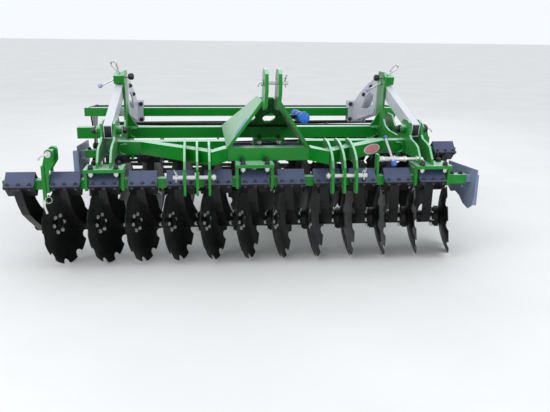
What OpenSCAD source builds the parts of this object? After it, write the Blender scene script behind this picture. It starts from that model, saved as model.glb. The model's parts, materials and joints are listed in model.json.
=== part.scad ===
// Compact disc harrow, three-point mounted: two rows of notched discs and a cage roller.
// X runs along the rows, -Y is the hitch side, Z is up, and the discs' lowest points are at Z = 0.

/* [Discs] */
// Diameter of a notched disc
disc_d = 560; // [460:10:660]
// Depth of the dish from rim to apex
dish = 65; // [40:1:90]
// Thickness of the disc's steel
disc_t = 6; // [4:0.5:8]
// Number of notches round the rim
notches = 10; // [6:1:16]
// Radius of one notch
notch_r = 37; // [20:1:50]
// Angle of the disc to the direction of travel
sweep = 20; // [10:1:30]
// Tilt of the disc, hollow side up
tilt = 6; // [0:1:15]
// Bolt circle of the disc on its hub
bolt_circle = 122; // [90:1:150]

/* [Rows] */
// Spacing of the discs in a row
pitch = 250; // [220:5:300]
// Discs on the fixed part of each row
fixed_discs = 11; // [7:1:13]
// Distance between the front and the rear disc tube
row_gap = 1040; // [900:10:1200]
// Side shift of each row from the middle
row_shift = 62.5; // [0:0.5:125]
// Extra spacing of the folding outer disc
fold_extra = 40; // [0:5:80]
// Size of the square disc tube
tube_w = 64; // [60:2:100]
// Height of the disc tube's axis above the discs' lowest points
tube_z = 609; // [550:1:700]
// How far the hubs trail behind the disc tube
trail = 185; // [100:5:250]

/* [Frame] */
// Size of the square frame beams
beam_w = 90; // [70:5:120]
// Height of the frame beams' axis
beam_z = 785; // [700:1:850]
// Reach of the second beam to its free end
rear_beam_left = 1455; // [1200:5:1600]
// Distance of the side plates from the middle
side_x = 1102; // [900:1:1200]

/* [Hitch] */
// Height of the lower hitch pins
lower_pin_z = 675; // [550:1:750]
// Height from the lower pins to the top pin
mast_height = 610; // [460:1:710]
// Radius of the lower hitch pins
lower_pin_r = 14; // [11:0.5:18.5]
// Radius of the top pin
top_pin_r = 12.5; // [9.5:0.1:16]

/* [Roller] */
// Outer diameter of the cage roller
roller_d = 550; // [400:10:600]
// Height of the roller's axle
roller_z = 425; // [275:5:450]
// Half length of the cage
roller_half = 1440; // [1200:10:1500]
// Number of tubes round the cage
cage_tubes = 10; // [8:1:14]
// Angle by which the cage tubes twist from end to end
cage_twist = 16; // [0:1:30]

/* [Hidden] */
$fn = 48;
green = [0.06, 0.45, 0.13];
dark_green = [0.05, 0.38, 0.11];
slate = [0.38, 0.4, 0.55];
silver = [0.66, 0.69, 0.73];
zinc = [0.76, 0.76, 0.74];
blue = [0.1, 0.3, 0.85];
black = [0.05, 0.05, 0.06];
disc_black = [0.08, 0.08, 0.09];
rubber = [0.03, 0.03, 0.03];
tube_y = -1140;
rear_tube_y = tube_y + row_gap;
sphere_r = (disc_d * disc_d / 4 + dish * dish) / (2 * dish);
rim_x = sphere_r - sqrt(pow(sphere_r + disc_t / 2, 2) - disc_d * disc_d / 4);
hub_z = disc_d / 2 * cos(tilt) - rim_x * sin(tilt);
disc_turn = [4, -7, 2, 8, -3, 6, -8, 0, 5, -5, 7, -1];
housing_far = 160;
housing_mid = 92;
clamp_back = housing_mid * cos(sweep) + (trail + housing_mid * sin(sweep)) * tan(sweep);
clamp_len = 188;
shell_in = 70;
flange_out = 99;
bolt_y = 87;
cord_c = (tube_w / 2 + shell_in * cos(45)) / (1 + cos(45));
cord_r = cord_c - tube_w / 2 - 0.25;
spindle_r = 22.4;
running = 0.05;
first_hub = -(fixed_discs - 1) / 2 * pitch + row_shift;
fold_hub = first_hub - pitch - fold_extra;
fold_pin_x = 1440;
fold_pin_z = 824;
fold_pin_r = 12.5;
fold_end = 1755;
tube_left = 1450;
tube_right = 1408;
slide_half = tube_w / 2 - 8;
shield_x = 1449;
beam_half = beam_w / 2;
beam_low = beam_z - beam_half;
beam_top = beam_z + beam_half;
straight_y = -777;
rear_beam_y = rear_tube_y;
knee_x = 395;
knee_y = -1195;
centre_y = -1045;
centre_x = 285;
bend_x = 860;
side_gap = 43;
plate_t = 15;
arm_w = 60;
arm_low = -26;
arm_top = 72;
plate_inner = side_x - side_gap - plate_t / 2;
tower_low = beam_low - 22;
arm_y = -820;
arm_z = 915;
arm_angle = 15.6;
arm_rear = 905;
roller_beam_y = 900;
roller_beam_z = 825;
roller_y = 1150;
roller_end_x = roller_half + 85;
roller_beam_half = roller_end_x + 45;
stub_r = 25;
hanger_half = 128;
hanger_front = [for (i = [2, 6, 11]) hub_x(i) - clamp_back];
lug_x = [410, 490, 572];
lower_pin_y = -1296;
top_pin_y = -1250;
top_pin_z = lower_pin_z + mast_height;
lean = atan((278 - 54) / 330);
strut_angle = 21.8;
mid_y = 35.2;
shell_points = [
  [-flange_out, 0], [-flange_out, 10], [-shell_in - 2, 10], [0, shell_in + 12],
  [shell_in + 2, 10], [flange_out, 10], [flange_out, 0], [shell_in, 0], [0, shell_in], [-shell_in, 0],
];
arm_points = [
  [-54, -28], [-40, -92], [-22, -142], [15, -217], [80, -282], [140, -337], [185, -377], [240, -382],
  [272, -342], [250, -292], [190, -237], [135, -182], [95, -122], [58, -28],
];
side_points = [
  [-1190, tower_low], [-1178, 755], [-1150, 785], [-1107, 830], [-1050, 848], [-960, 862], [-928, 885],
  [-912, 930], [-900, 970], [-860, 985], [-780, 985], [-745, 965], [-730, 910], [-700, 860], [-640, 838],
  [-420, 838], [-300, 860], [-240, 905], [-212, 980], [-205, 1100], [-222, 1200], [-222, 1250],
  [-190, 1285], [-40, 1285], [-20, 1260], [-20, 980], [-8, 900], [30, 845], [45, 800], [45, beam_low],
  [-1000, beam_low], [-1030, tower_low],
];
outer_points = [
  [-1190, tower_low], [-1178, 755], [-1150, 785], [-1107, 830], [-1050, 848], [-960, 862], [-928, 885],
  [-912, 930], [-900, 970], [-860, 985], [-780, 985], [-745, 965], [-730, 910], [-700, 860], [-640, 838],
  [-420, 838], [-300, 860], [-245, 890], [-215, 920], [-185, 935], [-50, 935], [-25, 920], [-8, 895],
  [30, 845], [45, 800], [45, beam_low], [-1000, beam_low], [-1030, tower_low],
];

// Cylinder along X, centred on its own axis
module rod_x(r, x0, x1) {
  translate([x0, 0, 0]) rotate([0, 90, 0]) cylinder(r = r, h = x1 - x0);
}

// Cylinder along Y
module rod_y(r, y0, y1) {
  translate([0, y1, 0]) rotate([90, 0, 0]) cylinder(r = r, h = y1 - y0);
}

// Flat plate in the YZ plane, drawn as points of Y and Z
module plate_yz(points, x0, t) {
  translate([x0, 0, 0]) rotate([90, 0, 90]) linear_extrude(t) polygon(points);
}

// Flat plate in the XZ plane, drawn as points of X and Z
module plate_xz(points, y0, t) {
  translate([0, y0 + t, 0]) rotate([90, 0, 0]) linear_extrude(t) polygon(points);
}

// Box from its low and high corners
module box(low, high) {
  translate(low) cube(high - low);
}

// Puts the middle of the machine's length at Y = 0
module placed() {
  translate([0, -mid_y, 0]) children();
}

// Copy on both sides of the middle
module both_sides() {
  children();
  mirror([1, 0, 0]) children();
}

// Puts a part of the front row in the rear row
module as_rear() {
  translate([0, row_gap, 0]) mirror([1, 0, 0]) children();
}

// X of one hub of the front row: 0 is the folding disc
function hub_x(i) = i == 0 ? fold_hub : first_hub + (i - 1) * pitch;

// Moves from a hub's own axes to the row: local +X points to the hollow side
module at_hub(i) {
  translate([hub_x(i), tube_y + trail, hub_z]) rotate([0, -tilt, -sweep]) children();
}

// Section of the dish from its apex to the rim, drawn as radius and depth
function arc_of(r, steps) = [
  for (k = steps) [r * sin(k / 8 * asin(disc_d / 2 / r)), sphere_r - r * cos(k / 8 * asin(disc_d / 2 / r))]
];

// Dished disc with a notched rim
module dish_plate(turn) {
  section = concat(arc_of(sphere_r + disc_t / 2, [0 : 8]), arc_of(sphere_r - disc_t / 2, [8 : -1 : 0]));
  difference() {
    rotate([0, 90, 0]) rotate_extrude($fn = 96) polygon(section);
    for (k = [0 : notches - 1])
      rotate([k * 360 / notches + turn, 0, 0]) translate([0, disc_d / 2 + 4, 0]) rod_x(notch_r, -20, dish + 20);
  }
}

// One disc with its hub flange, spindle and bolts
module disc_unit(i) {
  at_hub(i) {
    dish_plate(disc_turn[i]);
    rod_x(78, -34, -1);
    rod_x(34, -1, 22);
    rod_x(spindle_r, -145, -33);
    for (k = [0 : 5]) rotate([k * 60, 0, 0]) translate([0, bolt_circle / 2, 0]) {
      rod_x(9, -47, -33);
      rod_x(9, 0, 14);
    }
  }
}

// Upper half of a clamp with its bolts, centred on the disc tube
module clamp_upper() {
  plate_yz(shell_points, -clamp_len / 2, clamp_len);
  for (x = [-70, 0, 70], y = [-bolt_y, bolt_y]) translate([x, y, 9]) cylinder(r = 9, h = 12);
}

// Lower half of a clamp with its nuts
module clamp_lower() {
  mirror([0, 0, 1]) plate_yz(shell_points, -clamp_len / 2, clamp_len);
  for (x = [-70, 0, 70], y = [-bolt_y, bolt_y]) translate([x, y, -20]) cylinder(r = 9, h = 11);
}

// The four rubber cords that spring a clamp on the tube
module cords() {
  for (a = [0 : 90 : 270]) rotate([a, 0, 0]) translate([0, 0, cord_c]) rod_x(cord_r, 6 - clamp_len / 2, clamp_len / 2 - 6);
}

// Clamp half at one place of the row
module at_clamp(i) {
  translate([hub_x(i) - clamp_back, tube_y, tube_z]) children();
}

// Arm from the clamp down to the bearing housing
module disc_arm(i) {
  difference() {
    union() {
      at_clamp(i) difference() {
        rotate([0, 0, -sweep]) plate_yz(arm_points, -32, 64);
        for (a = [0 : 90 : 270]) rotate([a, 0, 0]) plate_yz([[-shell_in, 0], [0, shell_in], [shell_in, 0]], -150, 300);
      }
      at_clamp(i) clamp_lower();
      at_hub(i) rod_x(45, -housing_far, -40);
    }
    at_hub(i) rod_x(spindle_r + running, -152, -39);
    at_hub(i) rod_x(90, -40, 60);
  }
}

// Hanger that carries the disc tube: two lugs round the tube and a plate with its top at a height
module hanger(x, top) {
  for (side = [-1, 1]) box([x + side * (hanger_half - 9) - 9, tube_y - 58, tube_z - tube_w / 2 - 8],
    [x + side * (hanger_half - 9) + 9, tube_y + 58, top - 10]);
  box([x - hanger_half, tube_y - 90, top - 10], [x + hanger_half, tube_y + 90, top]);
}

// Ears on the end of the main tube for the folding end
module fold_ears() {
  ear = [
    [-tube_left, 577], [-tube_left, 700], [-fold_pin_x + 28, 760], [-fold_pin_x + 28, fold_pin_z],
    [-fold_pin_x - 28, fold_pin_z], [-fold_pin_x - 28, 780], [-tube_left - 18, 680], [-tube_left - 18, 577],
  ];
  for (y = [62, -77]) {
    plate_xz(ear, tube_y + y, 15);
    translate([-fold_pin_x, 0, fold_pin_z]) rod_y(28, tube_y + y, tube_y + y + 15);
  }
  box([-tube_left - 18, tube_y - 77, 565], [-tube_left, tube_y + 77, 680]);
  translate([-fold_pin_x, 0, fold_pin_z]) rod_y(fold_pin_r, tube_y - 92, tube_y + 92);
}

// Main tube of a row with its hangers, their heights given, and the ears of the folding end
module row_tube(tops) {
  difference() {
    box([-tube_left, tube_y - tube_w / 2, tube_z - tube_w / 2], [tube_right, tube_y + tube_w / 2, tube_z + tube_w / 2]);
    box([-tube_left + 20, tube_y - slide_half, tube_z - slide_half],
      [tube_right + 1, tube_y + slide_half, tube_z + slide_half]);
  }
  for (k = [0 : 2]) hanger(hanger_front[k], tops[k]);
  fold_ears();
}

// Folding end of a row: tube, hinge ears and end flange
module fold_frame() {
  for (k = [0, 1]) difference() {
    y = [-57, 42][k];
    low = [480, 542][k];
    union() {
      plate_xz([
        [-1500, low], [-1500, 700], [-fold_pin_x - 28, fold_pin_z], [-fold_pin_x + 26, fold_pin_z],
        [-fold_pin_x + 24, 806], [-1478, 730], [-1478, low],
      ], tube_y + y, 15);
      translate([-fold_pin_x, 0, fold_pin_z]) rod_y(28, tube_y + y, tube_y + y + 15);
    }
    translate([-fold_pin_x, 0, fold_pin_z]) rod_y(fold_pin_r + running, tube_y - 100, tube_y + 100);
  }
  box([-1500, tube_y - 57, 542], [-1485, tube_y + 57, 740]);
  box([-fold_end, tube_y - tube_w / 2, tube_z - tube_w / 2], [-1500, tube_y + tube_w / 2, tube_z + tube_w / 2]);
}

// Side deflector at the end of a row: sliding tube, leg and shield plate
module deflector() {
  shield = [
    [-1250, 690], [-740, 655], [-725, 560], [-740, 470], [-825, 430], [-905, 455],
    [-985, 440], [-1060, 400], [-1150, 385], [-1210, 420], [-1242, 500],
  ];
  difference() {
    plate_yz(shield, shield_x, 8);
    for (y = [-1080, -1020]) translate([0, y, 520]) rod_x(9, shield_x - 10, shield_x + 20);
  }
  box([1300, tube_y - slide_half, tube_z - slide_half], [shield_x, tube_y + slide_half, tube_z + slide_half]);
  box([shield_x + 8, tube_y - slide_half, 410], [shield_x + 58, tube_y + slide_half, tube_z + slide_half]);
}

// Solid of the bent front beam
module bent_beam() {
  half = [
    [0, centre_y - beam_half], [centre_x - 5, centre_y - beam_half], [knee_x, knee_y - beam_half],
    [bend_x + 30, straight_y - beam_half], [bend_x - 95, straight_y - beam_half], [knee_x - 10, knee_y + beam_half + 20],
    [centre_x + 20, centre_y + beam_half], [0, centre_y + beam_half],
  ];
  translate([0, 0, beam_low]) linear_extrude(beam_w) polygon(half);
  mirror([1, 0, 0]) translate([0, 0, beam_low]) linear_extrude(beam_w) polygon(half);
}

// Angled frame of the roller arm: local Y runs along the arm from its pivot
module at_arm() {
  translate([0, arm_y, arm_z]) rotate([arm_angle, 0, 0]) children();
}

module front_beam_bent() {
  x = hanger_front[1];
  placed() color(green) {
    bent_beam();
    box([x - hanger_half, tube_y - 90, beam_low - 12], [x + hanger_half, centre_y + beam_half, beam_low]);
  }
}

module front_beam_straight() {
  placed() color(green) both_sides() difference() {
    box([255, straight_y - beam_half, beam_low], [plate_inner, straight_y + beam_half, beam_top]);
    bent_beam();
  }
}

module second_beam() {
  placed() color(green) {
    box([-rear_beam_left, rear_beam_y - beam_half, beam_low], [fold_pin_x - 40, rear_beam_y + beam_half, beam_top]);
    for (x = hanger_front) {
      box([-x - hanger_half, rear_beam_y - 90, beam_low - 12], [-x + hanger_half, rear_beam_y + 90, beam_low]);
    }
  }
}

module side_plates() {
  placed() color(green) for (x = [hanger_front[0], hanger_front[2]])
    box([x - hanger_half, tube_y - 90, tower_low - 12], [x + hanger_half, tube_y + 90, tower_low]);
  placed() color(green) both_sides() difference() {
    union() {
      plate_yz(side_points, plate_inner, plate_t);
      plate_yz(outer_points, side_x + side_gap - plate_t / 2, plate_t);
      for (side = [-1, 1]) translate([0, arm_y, arm_z]) rod_x(32, side_x + side * 66 - 20, side_x + side * 66 + 20);
      plate_xz([[plate_inner - 83, beam_top], [plate_inner + 0.5, beam_top], [plate_inner + 0.5, 960],
        [plate_inner - 17, 930], [plate_inner - 42, 880], [plate_inner - 67, 850]], -120, 12);
    }
    box([900, rear_beam_y - beam_half, beam_low - 1], [1300, rear_beam_y + beam_half, beam_top]);
    bent_beam();
    translate([0, arm_y, arm_z]) rod_x(20, side_x - 100, side_x + 100);
  }
}

module headstock() {
  side = [
    [-1090, -10], [-1217, 395], [-1150, 405], [-860, 395], [-510, 212], [-190, 60], [-60, -10],
  ];
  top = [
    [-1352, 1300], [-1352, 1240], [-1300, 1130], [-1225, 1105], [-1120, 1105], [-1120, 1160], [-1150, 1300],
    [-1165, 1345], [-1205, 1372], [-1300, 1372], [-1340, 1345],
  ];
  placed() color(green) both_sides() {
    difference() {
      union() {
        translate([278, 0, beam_top]) rotate([0, -lean, 0]) plate_yz(side, -10, 20);
        plate_yz(top, 32.5, 22);
      }
      box([200, -1300, 700], [400, 0, beam_top]);
      box([-60, -1400, 1050], [32.5, -800, 1400]);
      translate([0, top_pin_y, top_pin_z]) rod_x(top_pin_r, 0, 100);
      translate([0, top_pin_y + 20, top_pin_z - 100]) rod_x(top_pin_r + 0.5, 0, 100);
    }
  }
}

module headstock_strut() {
  placed() color(dark_green) difference() {
    translate([0, -860, 1143]) rotate([-strut_angle, 0, 0]) difference() {
      translate([0, 0, -6]) linear_extrude(12) polygon([[-70, -8], [70, -8], [290, 860], [-290, 860]]);
      for (side = [-1, 1]) translate([0, 0, -10]) linear_extrude(20) intersection() {
        translate([side * 330, 560]) circle(r = 300);
        translate([side * -190, 560]) circle(r = 320);
      }
    }
    box([-400, rear_beam_y - 200, 600], [400, rear_beam_y + 200, beam_top]);
    both_sides() translate([278, 0, beam_top]) rotate([0, -lean, 0]) box([-10, -1300, -50], [200, 0, 700]);
  }
}

module hitch_lugs() {
  lug = [
    [-1000, 880], [-1090, 876], [-1150, 864], [-1210, 844], [-1262, 815], [-1300, 780], [-1324, 735],
    [-1330, 690], [-1328, 650], [-1342, 590], [-1336, 560], [-1285, 556], [-1265, 600], [-1262, 690],
    [-1225, 745], [-985, 745], [-965, 770], [-965, 866],
  ];
  placed() color(green) both_sides() difference() {
    union() {
      for (x = lug_x) {
        plate_yz(lug, x - plate_t / 2, plate_t);
        translate([0, lower_pin_y, lower_pin_z]) rod_x(33, x - plate_t / 2 - 3, x + plate_t / 2 + 3);
      }
    }
    bent_beam();
    translate([0, lower_pin_y, lower_pin_z]) rod_x(lower_pin_r, 300, 700);
  }
}

module lower_hitch_pins() {
  placed() color(zinc) both_sides() translate([0, lower_pin_y, lower_pin_z]) {
    rod_x(lower_pin_r, 392, 584);
    rod_x(lower_pin_r - 1, 584, 586);
    rod_x(lower_pin_r, 586, 648);
    rod_x(21, 380, 392);
  }
}

module top_link_pin() {
  placed() color(zinc) translate([0, top_pin_y, top_pin_z]) {
    rod_x(top_pin_r, -57, 55);
    rod_x(top_pin_r - 1, 55, 57);
    rod_x(top_pin_r, 57, 104);
    rod_x(20, -69, -57);
  }
}

module arm_stops() {
  placed() color(green) both_sides() at_arm()
    box([plate_inner + plate_t, 690, arm_top + 12], [side_x + 38, 785, 150]);
}

module stop_handles() {
  placed() color(zinc) for (side = [-1, 1]) translate([side * side_x, 0, 0]) {
    at_arm() {
      translate([0, 735, 150]) cylinder(r = 9, h = 40);
      translate([0, 735, 205]) difference() {
        rod_y(26, -8, 8);
        rod_y(14, -9, 9);
      }
    }
    translate([side * (plate_inner - side_x), -120, 1235]) rotate([0, 0, side > 0 ? 180 : 0]) {
      rod_x(13, 0, 22);
      rod_x(24, 22, 62);
    }
    translate([side > 0 ? plate_inner - side_x : -38, -125, side > 0 ? 1190 : 1214]) {
      rotate([0, -25, 0]) {
        rod_x(8, -120, -6);
        rod_x(18, -148, -112);
      }
      rod_x(14, -14, 0);
    }
  }
}

module front_disc_tube() {
  placed() color(green) {
    row_tube([tower_low - 12, beam_low - 12, tower_low - 12]);
    box([750, tube_y - tube_w / 2, tube_z + tube_w / 2], [766, tube_y + 30, 790]);
  }
}

module rear_disc_tube() {
  placed() color(green) as_rear() row_tube([beam_low - 12, beam_low - 12, beam_low - 12]);
}

module front_clamps() {
  placed() color(slate) for (i = [1 : fixed_discs]) at_clamp(i) clamp_upper();
}

module rear_clamps() {
  placed() color(slate) as_rear() for (i = [1 : fixed_discs]) at_clamp(i) clamp_upper();
}

module front_arms() {
  placed() color(black) for (i = [1 : fixed_discs]) disc_arm(i);
}

module rear_arms() {
  placed() color(black) as_rear() for (i = [1 : fixed_discs]) disc_arm(i);
}

module front_cords() {
  placed() color(rubber) for (i = [1 : fixed_discs]) at_clamp(i) cords();
}

module rear_cords() {
  placed() color(rubber) as_rear() for (i = [1 : fixed_discs]) at_clamp(i) cords();
}

module front_deflector() {
  placed() color(silver) deflector();
}

module rear_deflector() {
  placed() color(silver) as_rear() deflector();
}

module turnbuckle() {
  placed() color(zinc) translate([0, tube_y - 10, 755]) {
    rod_x(17, 800, 940);
    rod_x(10, 766, plate_inner);
  }
}

module document_tube() {
  placed() color(blue) {
    translate([282, -640, 985]) rotate([0, 0, 12]) {
      rod_y(45, -110, 110);
      rod_y(48, -124, -104);
      rod_y(47, 104, 116);
    }
    difference() {
      box([150, -665, 965], [250, -625, 1005]);
      translate([278, 0, beam_top]) rotate([0, -lean, 0]) box([-500, -800, -100], [10, -500, 800]);
    }
  }
}

module fold_left_frame() {
  placed() color(green) fold_frame();
}

module fold_left_clamp() {
  placed() color(slate) at_clamp(0) clamp_upper();
}

module fold_left_arm() {
  placed() color(black) disc_arm(0);
}

module fold_left_cords() {
  placed() color(rubber) at_clamp(0) cords();
}

module fold_right_frame() {
  placed() color(green) as_rear() fold_frame();
}

module fold_right_clamp() {
  placed() color(slate) as_rear() at_clamp(0) clamp_upper();
}

module fold_right_arm() {
  placed() color(black) as_rear() disc_arm(0);
}

module fold_right_cords() {
  placed() color(rubber) as_rear() at_clamp(0) cords();
}

// Square arms that pivot at the front and pass between the masts
module roller_arms() {
  placed() color(silver) both_sides() {
    at_arm() difference() {
      box([side_x - arm_w / 2, -85, arm_low], [side_x + arm_w / 2, arm_rear, arm_top]);
      box([side_x - arm_w / 2 + 6, -86, arm_low + 6], [side_x + arm_w / 2 - 6, arm_rear - 6, arm_top - 6]);
    }
    translate([0, arm_y, arm_z]) rod_x(20 - running, side_x - 95, side_x + 95);
  }
}

// Side plates of the roller arms, down to the clamp round the roller beam
module roller_plates() {
  outline = [
    [8, 1200], [120, 1215], [280, 1165], [560, 1060], [845, 925], [845, 740], [700, 770], [420, 835],
    [110, 905], [60, 960], [30, 1060],
  ];
  placed() color(silver) both_sides() {
    difference() {
      union() {
        for (side = [-1, 1]) plate_yz(outline, side_x + side * (arm_w / 2 + 6) - 6, 12);
      }
      plate_yz([[130, 1070], [130, 985], [330, 920], [520, 905], [400, 1010], [250, 1080]], side_x - 100, 200);
      at_arm() box([side_x - arm_w / 2, -85, arm_low], [side_x + arm_w / 2, arm_rear, arm_top]);
    }
    for (y = [845, roller_beam_y + 40]) box([side_x - 90, y, 730], [side_x + 90, y + 15, 930]);
    for (x = [-70, 70], z = [755, 905]) translate([side_x + x, 0, z]) rod_y(9, 833, roller_beam_y + 68);
  }
}

// Cross beam of the roller frame
module roller_beam() {
  placed() color(green) box([-roller_beam_half, roller_beam_y - 40, roller_beam_z - 40],
    [roller_beam_half, roller_beam_y + 40, roller_beam_z + 40]);
}

// End plates of the roller frame with the bearings and the rear bar
module roller_ends() {
  y = roller_y;
  beam = [roller_beam_y, roller_beam_z];
  end_plate = [
    beam + [-40, -40], beam + [-40, 40], beam + [45, 43], [y + 180, 840], [y + 242, 836], [y + 242, 778],
    [y + 180, 762], [y + 85, 560], [y + 55, roller_z + 5], [y + 30, roller_z - 55], [y - 30, roller_z - 55],
    [y - 55, roller_z + 5], [y - 90, 560], [y - 165, 700], beam + [40, -40],
  ];
  placed() color(black) {
    both_sides() difference() {
      union() {
        plate_yz(end_plate, roller_end_x - 6, 12);
        translate([0, roller_y, roller_z]) rod_x(48, roller_end_x - 30, roller_end_x + 30);
      }
      box([1000, roller_beam_y - 40, roller_beam_z - 40], [2000, roller_beam_y + 40, roller_beam_z + 40]);
      translate([0, roller_y, roller_z]) rod_x(stub_r + running, 1400, roller_end_x + 22);
    }
    box([-roller_end_x, y + 190, 783], [roller_end_x, y + 238, 831]);
  }
}

// Cage roller: end rings, inner stars, axle and slightly twisted tubes
module roller_cage() {
  r = roller_d / 2;
  span = 2 * roller_half;
  chord = 2 * (r - 17) * sin(cage_twist / 2);
  placed() color(black) translate([0, roller_y, roller_z]) {
    rod_x(stub_r, -roller_end_x - 18, roller_end_x + 18);
    rod_x(45, -roller_half, roller_half);
    for (k = [0 : 5]) {
      x = -roller_half + k * (span - 10) / 5;
      difference() {
        rod_x(r - 24, x, x + 10);
        for (a = [0 : 72 : 288]) rotate([a + 20, 0, 0]) translate([0, 140, 0]) rod_x(62, x - 1, x + 11);
      }
    }
    for (k = [0 : cage_tubes - 1]) rotate([k * 360 / cage_tubes, 0, 0])
      translate([-roller_half, (r - 17) * cos(cage_twist / 2), -chord / 2])
        rotate([0, -atan(chord / span), 0]) rod_x(17, 0, norm([span, chord]));
  }
}

module front_disc_01() { placed() color(disc_black) disc_unit(0); }
module front_disc_02() { placed() color(disc_black) disc_unit(1); }
module front_disc_03() { placed() color(disc_black) disc_unit(2); }
module front_disc_04() { placed() color(disc_black) disc_unit(3); }
module front_disc_05() { placed() color(disc_black) disc_unit(4); }
module front_disc_06() { placed() color(disc_black) disc_unit(5); }
module front_disc_07() { placed() color(disc_black) disc_unit(6); }
module front_disc_08() { placed() color(disc_black) disc_unit(7); }
module front_disc_09() { placed() color(disc_black) disc_unit(8); }
module front_disc_10() { placed() color(disc_black) disc_unit(9); }
module front_disc_11() { placed() color(disc_black) disc_unit(10); }
module front_disc_12() { placed() color(disc_black) disc_unit(11); }
module rear_disc_01() { placed() color(disc_black) as_rear() disc_unit(0); }
module rear_disc_02() { placed() color(disc_black) as_rear() disc_unit(1); }
module rear_disc_03() { placed() color(disc_black) as_rear() disc_unit(2); }
module rear_disc_04() { placed() color(disc_black) as_rear() disc_unit(3); }
module rear_disc_05() { placed() color(disc_black) as_rear() disc_unit(4); }
module rear_disc_06() { placed() color(disc_black) as_rear() disc_unit(5); }
module rear_disc_07() { placed() color(disc_black) as_rear() disc_unit(6); }
module rear_disc_08() { placed() color(disc_black) as_rear() disc_unit(7); }
module rear_disc_09() { placed() color(disc_black) as_rear() disc_unit(8); }
module rear_disc_10() { placed() color(disc_black) as_rear() disc_unit(9); }
module rear_disc_11() { placed() color(disc_black) as_rear() disc_unit(10); }
module rear_disc_12() { placed() color(disc_black) as_rear() disc_unit(11); }

front_beam_bent();
front_beam_straight();
second_beam();
side_plates();
headstock();
headstock_strut();
hitch_lugs();
lower_hitch_pins();
top_link_pin();
arm_stops();
stop_handles();
front_disc_tube();
front_clamps();
front_arms();
front_cords();
rear_disc_tube();
rear_clamps();
rear_arms();
rear_cords();
front_deflector();
rear_deflector();
turnbuckle();
document_tube();
fold_left_frame();
fold_left_clamp();
fold_left_arm();
fold_left_cords();
fold_right_frame();
fold_right_clamp();
fold_right_arm();
fold_right_cords();
roller_arms();
roller_plates();
roller_beam();
roller_ends();
roller_cage();
front_disc_01();
front_disc_02();
front_disc_03();
front_disc_04();
front_disc_05();
front_disc_06();
front_disc_07();
front_disc_08();
front_disc_09();
front_disc_10();
front_disc_11();
front_disc_12();
rear_disc_01();
rear_disc_02();
rear_disc_03();
rear_disc_04();
rear_disc_05();
rear_disc_06();
rear_disc_07();
rear_disc_08();
rear_disc_09();
rear_disc_10();
rear_disc_11();
rear_disc_12();
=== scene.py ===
"""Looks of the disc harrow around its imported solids. Metres; +Z up, -Y is the hitch side."""

import json
import math

import bmesh
import bpy
from mathutils import Matrix, Vector


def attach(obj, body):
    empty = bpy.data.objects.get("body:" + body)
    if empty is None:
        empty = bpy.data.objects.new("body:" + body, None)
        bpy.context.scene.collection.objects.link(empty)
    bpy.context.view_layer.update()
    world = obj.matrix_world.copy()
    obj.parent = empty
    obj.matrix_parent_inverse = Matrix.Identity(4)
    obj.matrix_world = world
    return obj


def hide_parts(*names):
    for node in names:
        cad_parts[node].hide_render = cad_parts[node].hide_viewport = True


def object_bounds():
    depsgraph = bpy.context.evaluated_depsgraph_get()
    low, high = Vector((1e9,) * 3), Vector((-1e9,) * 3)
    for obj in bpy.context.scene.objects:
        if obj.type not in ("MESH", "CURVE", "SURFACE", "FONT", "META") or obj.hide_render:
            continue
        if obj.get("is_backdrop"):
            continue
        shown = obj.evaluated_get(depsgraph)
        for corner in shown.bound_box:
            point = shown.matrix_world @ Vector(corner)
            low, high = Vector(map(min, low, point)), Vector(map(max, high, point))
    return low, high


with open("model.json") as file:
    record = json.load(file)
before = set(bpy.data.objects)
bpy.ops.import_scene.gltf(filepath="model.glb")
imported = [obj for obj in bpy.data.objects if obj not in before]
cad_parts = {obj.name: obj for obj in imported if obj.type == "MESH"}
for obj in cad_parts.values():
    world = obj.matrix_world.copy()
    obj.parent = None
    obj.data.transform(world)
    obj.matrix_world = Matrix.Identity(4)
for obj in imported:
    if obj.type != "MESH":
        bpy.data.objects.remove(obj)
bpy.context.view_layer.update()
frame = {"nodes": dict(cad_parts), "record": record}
nodes = frame["nodes"]
scene = bpy.context.scene

# Sizes, as in the part's source
MID_Y = 0.0352
PITCH = 0.25
DISCS = 12
TUBE_Y = -1.14 - MID_Y
TUBE_Z = 0.609
TUBE_HALF = 0.032
ROW_GAP = 1.04
TRAIL = 0.185
SWEEP = math.radians(20)
TILT = math.radians(6)
DISC_R = 0.28
DISH = 0.065
DISC_T = 0.006
FIRST_HUB = -5 * PITCH + 0.0625
FOLD_HUB = FIRST_HUB - PITCH - 0.04
HUB_MID = 0.092
CLAMP_BACK = HUB_MID * math.cos(SWEEP) + (TRAIL + HUB_MID * math.sin(SWEEP)) * math.tan(SWEEP)
BASE_T = 0.022
BEAM_LOW = 0.74
TOWER_LOW = BEAM_LOW - BASE_T
BEAM_TOP = 0.83
SIDE_X = 1.102
SIDE_GAP = 0.043
SIDE_HALF_T = 0.0075
PLATE_INNER = SIDE_X - SIDE_GAP - SIDE_HALF_T
ARM_Y = -0.82 - MID_Y
ARM_Z = 0.915
ARM_ANGLE = math.radians(15.6)
SPHERE_R = (DISC_R**2 + DISH**2) / (2 * DISH)
RIM_X = SPHERE_R - math.sqrt((SPHERE_R + DISC_T / 2) ** 2 - DISC_R**2)
HUB_Z = DISC_R * math.cos(TILT) - RIM_X * math.sin(TILT)

# Angles of a smooth closed outline, and the largest angle that is still shaded as smooth
ROUND = [math.radians(10 * k) for k in range(36)]
SOLID_SMOOTH = math.radians(32)
TRIM_SMOOTH = math.radians(35)


def turn(degrees, axis):
    """Rotation about an axis through the origin."""
    return Matrix.Rotation(math.radians(degrees), 4, axis)


def facing(side):
    """Turns local X to the side's own direction, +X or -X."""
    return turn(0 if side > 0 else 180, "Z")


def shift(x, y, z):
    return Matrix.Translation((x, y, z))


def point(x, y, z):
    """A point of the source, in the frame's axes."""
    return (x, y - MID_Y, z)


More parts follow.
